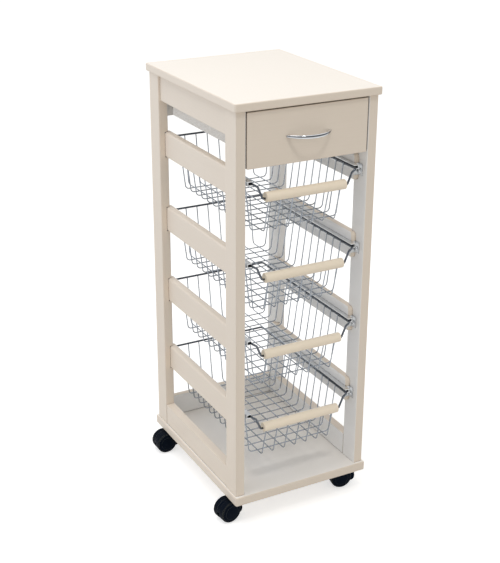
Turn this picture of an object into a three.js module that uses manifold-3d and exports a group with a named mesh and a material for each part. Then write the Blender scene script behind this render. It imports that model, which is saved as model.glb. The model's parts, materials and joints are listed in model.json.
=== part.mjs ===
// Rolling kitchen trolley: a narrow painted wooden frame with a worktop, one inset drawer,
// four wire baskets that slide in side runners, a low shelf and four twin-wheel castors.
// Millimetres, +Z up. The front faces -Y and the castors stand on z = 0.
import * as THREE from 'three';
import { mergeVertices } from 'three/addons/utils/BufferGeometryUtils.js';
import Module from 'manifold-3d';

const wasm = await Module();
wasm.setup();

// ---- Driving dimensions --------------------------------------------------------------

const SEAT = 0.3;                   // hairline left between pieces that touch
const SLIDE = 0.7;                  // running clearance of pieces that slide
const OVERCUT = 1;                  // how far a cutter runs past what it cuts

// how many flats stand for each round shape
const PIN_SIDES = 10;
const BOSS_SIDES = 12;
const HANDLE_SIDES = 14;
const WHEEL_SIDES = 20;
const WELL_SIDES = 20;

// boards
const TOP_THICK = 15;
const TOP_SIDE = 5;                 // how far each board stands out past the posts
const TOP_END = 6;
const SHELF_THICK = 18;
const SHELF_SIDE = 3.5;
const SHELF_END = 7;
const BOARD_CORNER = 4;             // corner radius of both boards, seen from above
const BOARD_EASE = 2;               // rounding of their edges

// posts and the boards between them
const FRAME_WIDTH = 285;            // over the outer faces of the posts
const FRAME_DEPTH = 360;            // over their front and rear faces
const POST_HEIGHT = 750;
const POST_WIDTH = 19;
const POST_DEPTH = 41;
const POST_EASE = 1.5;
const STOCK = 13;                   // thickness of the aprons and the rear rail
const STOCK_EASE = 1;
const APRON_INSET = 4.3;            // aprons sit back from the posts' outer faces
const SIDE_APRON_HEIGHT = 50;
const REAR_APRON_HEIGHT = 88;
const RAIL_INSET = 1;
const RAIL_HEIGHT = 45;

// ladder slats, one pair for each basket
const LEVELS = 4;
const HIGH_SLAT = 113;              // upper edge of the highest slats below the top board
const LOW_SLAT = 179.8;             // upper edge of the lowest slats above the shelf
const SLAT_HEIGHT = 50;
const SLAT_THICK = 16;
const SLAT_EASE = 4;
const SLAT_CORNER = 7;
const SLAT_LAP = 15.5;              // length of slat let into a post
const SLAT_SINK = 6.7;              // depth of its pocket in the post
const POCKET_RELIEF = 1;            // how much tighter the pocket's corners are

// basket runners
const RUNNER_WALL = 1.2;
const RUNNER_SLOT = 5.6;            // inner height of the channel
const RUNNER_DEPTH = 9.7;           // from its back to the edges of its flanges
const RUNNER_PAST = 14;             // how far it runs on past the slat's front end
const RUNNER_SHORT = 2.5;           // and stops short of the slat's rear end
const FOOT_LENGTH = 13;             // foot that turns out to the post, ahead of the slat
const FOOT_HEIGHT = 22;

// wire baskets
const RIM_DROP = 20;                // rim below the upper edge of its slats
const RIM_WIRE = 4;
const RIM_SETBACK = 8;              // rear rim ahead of the frame's rear face
const THIN_WIRE = 2.2;
const WELD = 0.4;                   // depth that welded wires sink into each other
const BASKET_DEPTH = 99;
const FLOOR_INSET = 15.5;           // floor's edge inside the rim at either side
const FLOOR_SETBACK = 24;           // floor's end inside the frame at front and rear
const MESH = 24.5;                  // spacing of the thin wires, both ways
const WIRE_BEND = 8;                // bend radius of the thin wires
const RIM_BEND = 5;
const BRACKET_START = 5;            // straight wire past the handle's end
const BRACKET_INSET = 9;            // knee of the wire beside and below the rim's front corner
const BRACKET_DROP = 6;

// wooden handles on the baskets
const HANDLE_INSET = 23.5;          // handle's end inside the rim
const HANDLE_DIAMETER = 18.6;
const HANDLE_PROUD = 3;             // how far it stands out past the posts
const HANDLE_DROP = 26;             // handle's axis below the rim
const HANDLE_OFFSET = 2.5;          // axis above the wire that it is pushed on
const HANDLE_EASE = 1;

// drawer
const FACE_GAP = 2;                 // shadow gap around the drawer front
const FACE_TOP_GAP = 3.3;
const FACE_HEIGHT = 99.4;
const FACE_THICK = 16;
const FACE_CORNER = 2;
const FACE_EASE = 1;
const BOX_GAP = 5.5;                // drawer side to post
const BOX_LENGTH = 290;
const BOX_WALL = 12;
const BOX_HEIGHT = 66;
const BOX_RISE = 25;                // lower edge of the box above that of the front
const PANEL = 4;                    // drawer bottom
const PANEL_GROOVE = 5;
const PANEL_RISE = 6;
const GUIDE_HEIGHT = 9;
const GUIDE_GROOVE = 6;
const GUIDE_RISE = 46;              // guide's lower edge above that of the box

// bow pull
const PULL_SPAN = 92;
const PULL_REACH = 25;
const PULL_THICK = 4.5;
const PULL_HEIGHT = 7;
const PULL_EASE = 1.8;

// castors
const CASTOR_HEIGHT = 46;
const SWIVEL_SIDE = 13.5;           // their stems, in from the outer faces of the posts
const SWIVEL_FRONT = 31;
const SWIVEL_REAR = 36;
const TRAIL = 18;                   // swivel axis to axle
const WHEEL_RADIUS = 22;
const WHEEL_WIDTH = 15;
const TREAD_WIDTH = 11.5;
const CAP_RADIUS = 20;              // shoulder between the tread's edge and the domed cap
const CAP_RISE = 2;
const HUB_DEPTH = 12;               // blind bore of a wheel
const HUB_GAP = 0.3;                // wheel to hood, wheel to axle
const WELL_GAP = 0.7;               // tread to the boss beside it
const HOOD_WEB = 6.4;
const HOOD_BOSS = 7.5;
const BOSS_RISE = 1;                // lower end of the boss above the underside of the hood
const HOOD_NOSE = 16;               // reach of the hood ahead of the swivel axis
const NOSE_SLOPE = 4;
const NOSE_CURVE = 10;
const HOOD_FLOOR = 5;
const AXLE_RADIUS = 2.5;
const PINTLE_RADIUS = 2.6;
const PINTLE_RISE = 5;              // pintle's lower end above the underside of the hood
const FLANGE_RADIUS = 11;
const FLANGE_THICK = 1.7;
const STEM_RADIUS = 4;
const STEM_LENGTH = 13;

// ---- Levels and faces worked out from them -------------------------------------------

const SHELF_TOP = CASTOR_HEIGHT + SHELF_THICK;
const FRAME_TOP = SHELF_TOP + POST_HEIGHT;
const POST_OUT = FRAME_WIDTH / 2;
const POST_IN = POST_OUT - POST_WIDTH;
const FRAME_FRONT = FRAME_DEPTH / 2;
const POST_REACH = FRAME_FRONT - POST_DEPTH;        // inner edge of a post along Y
const SIDE_RAIL = POST_WIDTH - RAIL_INSET;          // thickness of a side rail, flush inside
const SLAT_OUT = POST_IN + SLAT_SINK;
const SLAT_IN = SLAT_OUT - SLAT_THICK;
const SLAT_HALF = POST_REACH + SLAT_LAP;
const SIDES = [['left', -1], ['right', 1]];
const ENDS = [['front', -1], ['rear', 1]];

const LEVEL_PITCH = (POST_HEIGHT - HIGH_SLAT - LOW_SLAT) / (LEVELS - 1);
const slatTop = (level) => FRAME_TOP - HIGH_SLAT - level * LEVEL_PITCH;
const rimHeight = (level) => slatTop(level) - RIM_DROP;

// ---- Finishes ------------------------------------------------------------------------

const paint = { color: 0xeee3d2, roughness: 0.45, metalness: 0 };
const chrome = { color: 0xc9cbcd, roughness: 0.15, metalness: 1 };
const blackPlastic = { color: 0x17181b, roughness: 0.5, metalness: 0 };
const zinc = { color: 0xb4b6b8, roughness: 0.35, metalness: 1 };
const plywood = { color: 0xdfd2bd, roughness: 0.6, metalness: 0 };

// ---- Shared shapes -------------------------------------------------------------------

const cart = new THREE.Group();

function add(parent, name, geometry, finish) {
  const mesh = new THREE.Mesh(geometry, new THREE.MeshStandardMaterial(finish));
  mesh.name = name;
  parent.add(mesh);
  return mesh;
}

function toSolid(geometry) {
  const bare = geometry.clone();
  bare.deleteAttribute('normal');
  bare.deleteAttribute('uv');
  const merged = mergeVertices(bare, 1e-4);
  return new wasm.Manifold(new wasm.Mesh({
    numProp: 3,
    vertProperties: Float32Array.from(merged.attributes.position.array),
    triVerts: Uint32Array.from(merged.index.array),
  }));
}

function toGeometry(solid) {
  const mesh = solid.getMesh();
  const geometry = new THREE.BufferGeometry();
  geometry.setAttribute('position', new THREE.BufferAttribute(mesh.vertProperties, 3));
  geometry.setIndex(new THREE.BufferAttribute(mesh.triVerts, 1));
  return geometry;
}

const union = (geometries) => geometries.map(toSolid).reduce((all, next) => all.add(next));

function roundedRect(width, height, radius) {
  const shape = new THREE.Shape();
  const x = width / 2 - radius;
  const y = height / 2 - radius;
  shape.absarc(x, y, radius, 0, Math.PI / 2);
  shape.absarc(-x, y, radius, Math.PI / 2, Math.PI);
  shape.absarc(-x, -y, radius, Math.PI, 1.5 * Math.PI);
  shape.absarc(x, -y, radius, 1.5 * Math.PI, 2 * Math.PI);
  return shape;
}

function polygon(points) {
  return new THREE.Shape(points.map(([x, y]) => new THREE.Vector2(x, y)));
}

function prism(shape, length, curveSegments = 1) {
  return new THREE.ExtrudeGeometry(shape, { depth: length, bevelEnabled: false, curveSegments });
}

// A board lying flat on z = 0 with rounded corners and eased edges.
function board(width, depth, thick, corner, ease) {
  const outline = roundedRect(width - 2 * ease, depth - 2 * ease, corner - ease);
  const body = new THREE.ExtrudeGeometry(outline, {
    depth: thick - 2 * ease,
    bevelThickness: ease,
    bevelSize: ease,
    bevelSegments: 2,
    curveSegments: 1,
  });
  return body.translate(0, 0, ease);
}

// A stick of eased rectangular section, centred on the origin and running along Y.
function stick(width, length, height, ease) {
  const body = prism(roundedRect(width, height, ease), length);
  return body.translate(0, 0, -length / 2).rotateX(Math.PI / 2);
}

function cylinder(radius, from, to, sides) {
  const body = new THREE.CylinderGeometry(radius, radius, to - from, sides);
  return body.rotateX(Math.PI / 2).translate(0, 0, (from + to) / 2);
}

// ---- Boards and posts ----------------------------------------------------------------

const corners = SIDES.flatMap(([side, x]) => ENDS.map(([end, y]) => [`${end}_${side}`, x, y]));

// Middle of the castor under a corner, given by its two signs.
function swivelPlace(x, y) {
  const inset = y > 0 ? SWIVEL_REAR : SWIVEL_FRONT;
  return [x * (POST_OUT - SWIVEL_SIDE), y * (FRAME_FRONT - inset)];
}

function slat(x, level) {
  const body = board(SLAT_HEIGHT, 2 * SLAT_HALF, SLAT_THICK, SLAT_CORNER, SLAT_EASE);
  body.translate(0, 0, -SLAT_THICK / 2).rotateY(Math.PI / 2);
  return body.translate(x * (SLAT_IN + SLAT_OUT) / 2, 0, slatTop(level) - SLAT_HEIGHT / 2);
}

// The pocket that takes both ends of a slat, cut into the inner faces of two posts.
function slatPocket(x, level) {
  const corner = SLAT_CORNER - POCKET_RELIEF;
  const outline = roundedRect(SLAT_HEIGHT + 2 * SEAT, 2 * (SLAT_HALF + SEAT), corner);
  const body = prism(outline, SLAT_THICK).translate(0, 0, -SLAT_THICK / 2).rotateY(Math.PI / 2);
  const middle = SLAT_OUT + SEAT - SLAT_THICK / 2;
  return body.translate(x * middle, 0, slatTop(level) - SLAT_HEIGHT / 2);
}

function buildFrame() {
  const shelfSize = [FRAME_WIDTH + 2 * SHELF_SIDE, FRAME_DEPTH + 2 * SHELF_END, SHELF_THICK];
  const shelf = board(...shelfSize, BOARD_CORNER, BOARD_EASE).translate(0, 0, CASTOR_HEIGHT);
  const drilled = corners.reduce((solid, [, x, y]) => {
    const hole = cylinder(STEM_RADIUS + SEAT, 0, CASTOR_HEIGHT + STEM_LENGTH + SEAT, BOSS_SIDES);
    return solid.subtract(toSolid(hole.translate(...swivelPlace(x, y), 0)));
  }, toSolid(shelf));
  add(cart, 'bottom_shelf', toGeometry(drilled), paint);

  const topSize = [FRAME_WIDTH + 2 * TOP_SIDE, FRAME_DEPTH + 2 * TOP_END, TOP_THICK];
  const top = board(...topSize, BOARD_CORNER, BOARD_EASE).translate(0, 0, FRAME_TOP);
  add(cart, 'top_board', top, paint);

  for (const [place, x, y] of corners) {
    const section = roundedRect(POST_WIDTH, POST_DEPTH, POST_EASE);
    const blank = prism(section, POST_HEIGHT - 2 * SEAT);
    const middle = [x * (POST_OUT - POST_WIDTH / 2), y * (FRAME_FRONT - POST_DEPTH / 2)];
    blank.translate(...middle, SHELF_TOP + SEAT);
    let post = toSolid(blank);
    for (let level = 0; level < LEVELS; level += 1) {
      post = post.subtract(toSolid(slatPocket(x, level)));
    }
    add(cart, `post_${place}`, toGeometry(post), paint);
  }

  for (const [side, x] of SIDES) {
    for (let level = 0; level < LEVELS; level += 1) {
      add(cart, `slat_${side}_${level + 1}`, slat(x, level), paint);
    }
    const apron = stick(STOCK, 2 * (POST_REACH - SEAT), SIDE_APRON_HEIGHT, STOCK_EASE);
    apron.translate(x * (POST_OUT - APRON_INSET - STOCK / 2), 0, FRAME_TOP - SEAT - SIDE_APRON_HEIGHT / 2);
    add(cart, `apron_${side}`, apron, paint);
    const rail = stick(SIDE_RAIL, 2 * (POST_REACH - SEAT), RAIL_HEIGHT, STOCK_EASE);
    rail.translate(x * (POST_IN + SIDE_RAIL / 2), 0, SHELF_TOP + SEAT + RAIL_HEIGHT / 2);
    add(cart, `low_rail_${side}`, rail, paint);
  }

  const span = 2 * (POST_IN - SEAT);
  const rearApron = stick(STOCK, span, REAR_APRON_HEIGHT, STOCK_EASE).rotateZ(Math.PI / 2);
  const apronY = FRAME_FRONT - APRON_INSET - STOCK / 2;
  add(cart, 'apron_rear', rearApron.translate(0, apronY, FRAME_TOP - SEAT - REAR_APRON_HEIGHT / 2), paint);
  const rearRail = stick(STOCK, span, RAIL_HEIGHT, STOCK_EASE).rotateZ(Math.PI / 2);
  const railY = FRAME_FRONT - RAIL_INSET - STOCK / 2;
  add(cart, 'low_rail_rear', rearRail.translate(0, railY, SHELF_TOP + SEAT + RAIL_HEIGHT / 2), paint);
}

// ---- Basket runners ------------------------------------------------------------------

const RUNNER_BACK = SLAT_IN - SEAT;
const RUNNER_LIP = RUNNER_BACK - RUNNER_DEPTH;              // inner edge of its flanges
const RUNNER_FLOOR = -RIM_WIRE / 2 - SEAT;                  // measured from the rim's centre
const RUNNER_FRONT = SLAT_HALF + RUNNER_PAST;
const RUNNER_REAR = SLAT_HALF - RUNNER_SHORT;

// A channel open towards the basket, with a foot under its front end that turns out to the post.
function runner(x) {
  const back = RUNNER_BACK;
  const low = RUNNER_FLOOR;
  const high = low + RUNNER_SLOT;
  const wall = RUNNER_WALL;
  const channel = prism(polygon([
    [x * RUNNER_LIP, low - wall], [x * back, low - wall], [x * back, high + wall],
    [x * RUNNER_LIP, high + wall], [x * RUNNER_LIP, high], [x * (back - wall), high],
    [x * (back - wall), low], [x * RUNNER_LIP, low],
  ]), RUNNER_FRONT + RUNNER_REAR);
  channel.rotateX(Math.PI / 2).translate(0, RUNNER_REAR, 0);
  const face = POST_IN - SEAT;
  const crank = -SLAT_HALF - SEAT;
  const foot = prism(polygon([
    [x * (back - wall), crank - wall], [x * (face - wall), crank - wall],
    [x * (face - wall), crank - FOOT_LENGTH], [x * face, crank - FOOT_LENGTH],
    [x * face, crank], [x * (back - wall), crank],
  ]), FOOT_HEIGHT);
  foot.translate(0, 0, high - FOOT_HEIGHT);
  return toGeometry(union([channel, foot]));
}

function buildRunners() {
  for (const [side, x] of SIDES) {
    for (let level = 0; level < LEVELS; level += 1) {
      const geometry = runner(x).translate(0, 0, rimHeight(level));
      add(cart, `runner_${side}_${level + 1}`, geometry, zinc);
    }
  }
}

// ---- Wire baskets --------------------------------------------------------------------

// The centre line of a bent wire: straight stretches joined by short bends. Each straight
// stretch starts and ends with a section that is square to it.
class WirePath extends THREE.Curve {
  constructor(knots, bend, steps) {
    super();
    const at = knots.map((knot) => new THREE.Vector3(...knot));
    const last = at.length - 1;
    const heading = (i) => at[i + 1].clone().sub(at[i]).normalize();
    this.points = [at[0]];
    this.tangents = [heading(0)];
    for (let i = 1; i < last; i += 1) {
      const reach = bend * Math.tan(heading(i - 1).angleTo(heading(i)) / 2);
      const start = at[i].clone().addScaledVector(heading(i - 1), -reach);
      const end = at[i].clone().addScaledVector(heading(i), reach);
      const arc = new THREE.QuadraticBezierCurve3(start, at[i], end);
      for (let step = 0; step <= steps; step += 1) {
        this.points.push(arc.getPoint(step / steps));
        this.tangents.push(arc.getTangent(step / steps));
      }
    }
    this.points.push(at[last]);
    this.tangents.push(heading(last - 1));
  }

  getSpacedPoints() {
    return this.points;
  }

  getTangentAt(u) {
    return this.tangents[Math.round(u * (this.points.length - 1))].clone();
  }
}

// A regular polygon with a corner towards -Y of its own plane. On a swept wire that side is the
// inside of a cross wire's bends and the outside of a long wire's, so ridge meets ridge.
function wireSection(corner, sides) {
  return polygon(Array.from({ length: sides }, (_, i) => {
    const angle = 2 * Math.PI * i / sides - Math.PI / 2;
    return [corner * Math.cos(angle), corner * Math.sin(angle)];
  }));
}

function wire(knots, section, bend, steps = 1) {
  const path = new WirePath(knots, bend, steps);
  return new THREE.ExtrudeGeometry(section, { extrudePath: path, steps: path.points.length - 1 });
}

// A closed loop of wire is the swept sides alone, whose last section falls on the first.
function wireLoop(knots, section, bend, steps = 1) {
  const swept = wire(knots, section, bend, steps);
  const { start, count } = swept.groups[1];
  const places = swept.attributes.position.array.slice(3 * start, 3 * (start + count));
  return new THREE.BufferGeometry().setAttribute('position', new THREE.BufferAttribute(places, 3));
}

const RIM_OUT = RUNNER_LIP - SLIDE + RIM_WIRE / 2;          // centre line of a side rim
const RIM_REAR = FRAME_FRONT - RIM_SETBACK;
const FLOOR_HALF_WIDTH = RIM_OUT - FLOOR_INSET;
const FLOOR_HALF_LENGTH = FRAME_FRONT - FLOOR_SETBACK;
const CROSS_WIRES = Math.floor(2 * FLOOR_HALF_LENGTH / MESH);
const LONG_WIRES = Math.floor(2 * FLOOR_HALF_WIDTH / MESH);
const HANDLE_LENGTH = 2 * (RIM_OUT - HANDLE_INSET);
const HANDLE_Y = -(FRAME_FRONT + HANDLE_PROUD - HANDLE_DIAMETER / 2);
const HANDLE_WIRE_Z = -HANDLE_DROP - HANDLE_OFFSET;
const FLOOR_Z = -BASKET_DEPTH;
const THIN_CORNER = THIN_WIRE / 1.5;            // a three-sided section as high as the wire
const LONG_Z = FLOOR_Z + 2 * THIN_CORNER - WELD;

// The thick wire: from the middle of the handle out to the bracket, up to the rim, along one
// side, round the back and the same way home.
function rimGeometry() {
  const half = [
    [HANDLE_LENGTH / 2 + BRACKET_START, HANDLE_Y, HANDLE_WIRE_Z],
    [RIM_OUT - BRACKET_INSET, HANDLE_Y, -BRACKET_DROP],
    [RIM_OUT, HANDLE_Y, 0],
    [RIM_OUT, RIM_REAR, 0],
  ];
  const middle = [0, HANDLE_Y, HANDLE_WIRE_Z];
  const otherHalf = half.map(([x, y, z]) => [-x, y, z]).reverse();
  return wireLoop([middle, ...half, ...otherHalf, middle], wireSection(RIM_WIRE / 2, 6), RIM_BEND);
}

// The rim with the thin wires of sides, ends and floor welded into it and to each other. The
// basket's own origin is the middle of its rim.
function basketGeometry() {
  const section = wireSection(THIN_CORNER, 3);
  const hookX = RIM_OUT - RIM_WIRE / 2 - THIN_CORNER / 2 + WELD;
  const wires = [rimGeometry()];
  for (let i = 0; i < CROSS_WIRES; i += 1) {
    const y = (i - (CROSS_WIRES - 1) / 2) * MESH;
    const half = FLOOR_HALF_WIDTH;
    wires.push(wire([
      [-hookX, y, 0], [-half, y, FLOOR_Z], [half, y, FLOOR_Z], [hookX, y, 0],
    ], section, WIRE_BEND));
  }
  for (let i = 0; i < LONG_WIRES; i += 1) {
    const x = (i - (LONG_WIRES - 1) / 2) * MESH;
    const half = FLOOR_HALF_LENGTH;
    wires.push(wire([
      [x, HANDLE_Y, HANDLE_WIRE_Z], [x, -half, LONG_Z], [x, half, LONG_Z], [x, RIM_REAR, 0],
    ], section, WIRE_BEND));
  }
  return toGeometry(union(wires));
}

// A turned handle with a slot along it, pushed over the front wire and the wires of the front wall.
function handleGeometry() {
  const radius = HANDLE_DIAMETER / 2;
  const profile = [
    [0, -HANDLE_LENGTH / 2], [radius - HANDLE_EASE, -HANDLE_LENGTH / 2],
    [radius, -HANDLE_LENGTH / 2 + HANDLE_EASE], [radius, HANDLE_LENGTH / 2 - HANDLE_EASE],
    [radius - HANDLE_EASE, HANDLE_LENGTH / 2], [0, HANDLE_LENGTH / 2],
  ].map(([r, h]) => new THREE.Vector2(r, h));
  const turned = new THREE.LatheGeometry(profile, HANDLE_SIDES).rotateZ(Math.PI / 2);
  turned.translate(0, HANDLE_Y, -HANDLE_DROP);
  const half = RIM_WIRE / 2 + SEAT;
  const slot = new THREE.Shape();
  slot.absarc(0, 0, half, 0, Math.PI);
  slot.lineTo(-half, -HANDLE_DIAMETER);
  slot.lineTo(half, -HANDLE_DIAMETER);
  const lean = Math.atan2(-HANDLE_Y - FLOOR_HALF_LENGTH, HANDLE_WIRE_Z - LONG_Z);
  const cutter = prism(slot, HANDLE_LENGTH + 2 * OVERCUT, 3);
  cutter.translate(0, 0, -HANDLE_LENGTH / 2 - OVERCUT);
  cutter.rotateX(Math.PI / 2).rotateZ(Math.PI / 2).rotateX(lean);
  cutter.translate(0, HANDLE_Y, HANDLE_WIRE_Z);
  return toGeometry(toSolid(turned).subtract(toSolid(cutter)));
}

function buildBaskets() {
  const basket = basketGeometry();
  const handle = handleGeometry();
  for (let level = 0; level < LEVELS; level += 1) {
    const group = new THREE.Group();
    group.position.z = rimHeight(level);
    cart.add(group);
    add(group, `basket_${level + 1}`, basket, chrome);
    add(group, `basket_handle_${level + 1}`, handle, paint);
  }
}

// ---- Drawer --------------------------------------------------------------------------

function buildDrawer() {
  const faceTop = FRAME_TOP - FACE_TOP_GAP;
  const faceLow = faceTop - FACE_HEIGHT;
  const face = board(2 * (POST_IN - FACE_GAP), FACE_HEIGHT, FACE_THICK, FACE_CORNER, FACE_EASE);
  face.rotateX(Math.PI / 2).translate(0, -FRAME_FRONT + FACE_THICK, faceTop - FACE_HEIGHT / 2);
  add(cart, 'drawer_front', face, paint);

  const low = faceLow + BOX_RISE;
  const out = POST_IN - BOX_GAP;
  const inner = out - BOX_WALL;
  const groove = low + GUIDE_RISE;
  const panel = low + PANEL_RISE;
  const front = -FRAME_FRONT + FACE_THICK + SEAT;
  for (const [side, x] of SIDES) {
    const section = polygon([
      [x * inner, low], [x * out, low], [x * out, groove - SLIDE],
      [x * (out - GUIDE_GROOVE), groove - SLIDE], [x * (out - GUIDE_GROOVE), groove + GUIDE_HEIGHT + SLIDE],
      [x * out, groove + GUIDE_HEIGHT + SLIDE], [x * out, low + BOX_HEIGHT], [x * inner, low + BOX_HEIGHT],
      [x * inner, panel + PANEL + SEAT], [x * (inner + PANEL_GROOVE), panel + PANEL + SEAT],
      [x * (inner + PANEL_GROOVE), panel - SEAT], [x * inner, panel - SEAT],
    ]);
    const wall = prism(section, BOX_LENGTH).rotateX(Math.PI / 2).translate(0, front + BOX_LENGTH, 0);
    add(cart, `drawer_side_${side}`, wall, plywood);

    const guideIn = out - GUIDE_GROOVE + SLIDE;
    const guideOut = POST_OUT - APRON_INSET - STOCK - SEAT;
    const guide = new THREE.BoxGeometry(guideOut - guideIn, 2 * (POST_REACH - SEAT), GUIDE_HEIGHT);
    guide.translate(x * (guideIn + guideOut) / 2, 0, groove + GUIDE_HEIGHT / 2);
    add(cart, `drawer_guide_${side}`, guide, plywood);
  }

  const bottomWidth = 2 * (inner + PANEL_GROOVE - SEAT);
  const bottom = new THREE.BoxGeometry(bottomWidth, BOX_LENGTH, PANEL);
  add(cart, 'drawer_bottom', bottom.translate(0, front + BOX_LENGTH / 2, panel + PANEL / 2), plywood);
  const backLow = panel + PANEL + SEAT;
  const back = new THREE.BoxGeometry(2 * (inner - SEAT), BOX_WALL, low + BOX_HEIGHT - backLow);
  const backZ = (backLow + low + BOX_HEIGHT) / 2;
  add(cart, 'drawer_back', back.translate(0, front + BOX_LENGTH - BOX_WALL / 2, backZ), plywood);
  const pull = pullGeometry().translate(0, -FRAME_FRONT - SEAT, (faceTop + faceLow) / 2);
  add(cart, 'drawer_pull', pull, chrome);
}

// A bow in plan, as thick all along, with flat ends that stand on the drawer front.
function pullGeometry() {
  const half = PULL_SPAN / 2;
  const radius = (half * half + PULL_REACH * PULL_REACH) / (2 * PULL_REACH);
  const centre = radius - PULL_REACH;
  const outer = radius - PULL_EASE;
  const inner = radius - PULL_THICK + PULL_EASE;
  const outerEnd = Math.asin((centre + PULL_EASE) / outer);
  const innerEnd = Math.asin((centre + PULL_EASE) / inner);
  const bow = new THREE.Shape();
  bow.absarc(0, centre, outer, -outerEnd, -Math.PI + outerEnd, true);
  bow.absarc(0, centre, inner, -Math.PI + innerEnd, -innerEnd, false);
  const solid = new THREE.ExtrudeGeometry(bow, {
    depth: PULL_HEIGHT - 2 * PULL_EASE,
    bevelThickness: PULL_EASE,
    bevelSize: PULL_EASE,
    bevelSegments: 2,
    curveSegments: 6,
  });
  return solid.translate(0, 0, -PULL_HEIGHT / 2 + PULL_EASE);
}

// ---- Castors -------------------------------------------------------------------------

const SWIVEL_TOP = CASTOR_HEIGHT - SEAT - FLANGE_THICK;

function stemGeometry() {
  const pintleLow = HOOD_FLOOR + PINTLE_RISE;
  const profile = [
    [0, pintleLow], [PINTLE_RADIUS, pintleLow], [PINTLE_RADIUS, SWIVEL_TOP], [FLANGE_RADIUS, SWIVEL_TOP],
    [FLANGE_RADIUS, CASTOR_HEIGHT - SEAT], [STEM_RADIUS, CASTOR_HEIGHT - SEAT],
    [STEM_RADIUS, CASTOR_HEIGHT + STEM_LENGTH], [0, CASTOR_HEIGHT + STEM_LENGTH],
  ].map(([r, h]) => new THREE.Vector2(r, h));
  return new THREE.LatheGeometry(profile, PIN_SIDES).rotateX(Math.PI / 2);
}

// The hood: a web between the wheels, a boss round the pintle and the axle pressed through it.
// The swivel axis is at the origin and the axle lies at x = -TRAIL.
function hoodGeometry() {
  const top = SWIVEL_TOP - SEAT;
  const outline = new THREE.Shape();
  outline.moveTo(HOOD_NOSE - NOSE_SLOPE, top);
  outline.lineTo(-TRAIL, top);
  outline.absarc(-TRAIL, WHEEL_RADIUS, top - WHEEL_RADIUS, Math.PI / 2, Math.PI, false);
  outline.absarc(-TRAIL, WHEEL_RADIUS, WHEEL_RADIUS - HOOD_FLOOR, Math.PI, 1.5 * Math.PI, false);
  outline.lineTo(HOOD_NOSE - NOSE_CURVE, HOOD_FLOOR);
  outline.quadraticCurveTo(HOOD_NOSE, HOOD_FLOOR, HOOD_NOSE, HOOD_FLOOR + NOSE_CURVE);
  const web = prism(outline, HOOD_WEB, 4).translate(0, 0, -HOOD_WEB / 2).rotateX(Math.PI / 2);
  const boss = cylinder(HOOD_BOSS, HOOD_FLOOR + BOSS_RISE, top, BOSS_SIDES);
  const socketLow = HOOD_FLOOR + PINTLE_RISE - SEAT;
  const socket = cylinder(PINTLE_RADIUS + SEAT, socketLow, top + OVERCUT, PIN_SIDES);
  const swept = cylinder(WHEEL_RADIUS + WELL_GAP, -HOOD_BOSS, HOOD_BOSS, WELL_SIDES);
  swept.rotateX(Math.PI / 2);
  const shapedBoss = toSolid(boss).subtract(toSolid(swept.translate(-TRAIL, 0, WHEEL_RADIUS)));
  const axleHalf = HOOD_WEB / 2 + HUB_GAP + HUB_DEPTH - SEAT;
  const axle = cylinder(AXLE_RADIUS, -axleHalf, axleHalf, PIN_SIDES).rotateX(Math.PI / 2);
  const whole = toSolid(web).add(shapedBoss).add(toSolid(axle.translate(-TRAIL, 0, WHEEL_RADIUS)));
  return toGeometry(whole.subtract(toSolid(socket)));
}

// A domed wheel with a blind hub, its inner face at y = 0 and its cap towards +Y.
function wheelGeometry() {
  const bore = AXLE_RADIUS + HUB_GAP;
  const profile = [
    [0, HUB_DEPTH], [bore, HUB_DEPTH], [bore, 0], [WHEEL_RADIUS, 0],
    [WHEEL_RADIUS, TREAD_WIDTH], [CAP_RADIUS, TREAD_WIDTH + CAP_RISE], [0, WHEEL_WIDTH],
  ].map(([r, h]) => new THREE.Vector2(r, h));
  return new THREE.LatheGeometry(profile, WHEEL_SIDES);
}

// The way each castor trails, in degrees from +X.
const TRAIL_ANGLE = { front_left: 187, rear_left: 180, front_right: 170, rear_right: 0 };

function buildCastors() {
  for (const [place, x, y] of corners) {
    const castor = new THREE.Group();
    castor.position.set(...swivelPlace(x, y), 0);
    cart.add(castor);
    add(castor, `castor_stem_${place}`, stemGeometry(), chrome);
    const swivel = new THREE.Group();
    swivel.rotation.z = THREE.MathUtils.degToRad(TRAIL_ANGLE[place] - 180);
    castor.add(swivel);
    add(swivel, `castor_hood_${place}`, hoodGeometry(), blackPlastic);
    for (const [name, turn] of [['a', 1], ['b', -1]]) {
      const wheel = add(swivel, `castor_wheel_${place}_${name}`, wheelGeometry(), blackPlastic);
      wheel.position.set(-TRAIL, turn * (HOOD_WEB / 2 + HUB_GAP), WHEEL_RADIUS);
      wheel.rotation.z = turn > 0 ? 0 : Math.PI;
    }
  }
}

buildFrame();
buildRunners();
buildBaskets();
buildDrawer();
buildCastors();

// The origin is on the floor, under the middle of the cart's bounding box.
const box = new THREE.Box3().setFromObject(cart);
const middle = box.getCenter(new THREE.Vector3());
cart.position.set(-middle.x, -middle.y, 0);

export default cart;
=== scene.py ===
# %% [markdown]
# # A narrow kitchen trolley: painted wood, chromed wire, black castors
#
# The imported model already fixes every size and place. This notebook gives it its finish: it swaps
# the plain solids for finely made pieces where the eye goes, and paints the rest where they stand.
# Everything is in metres, with +Z up and the drawer facing -Y. Small sizes are easier to read in
# millimetres, so they are written that way and multiplied by MM where a mesh or a node takes them.

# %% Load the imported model
import json
import math

import bmesh
import bpy
from mathutils import Matrix, Vector

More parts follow.
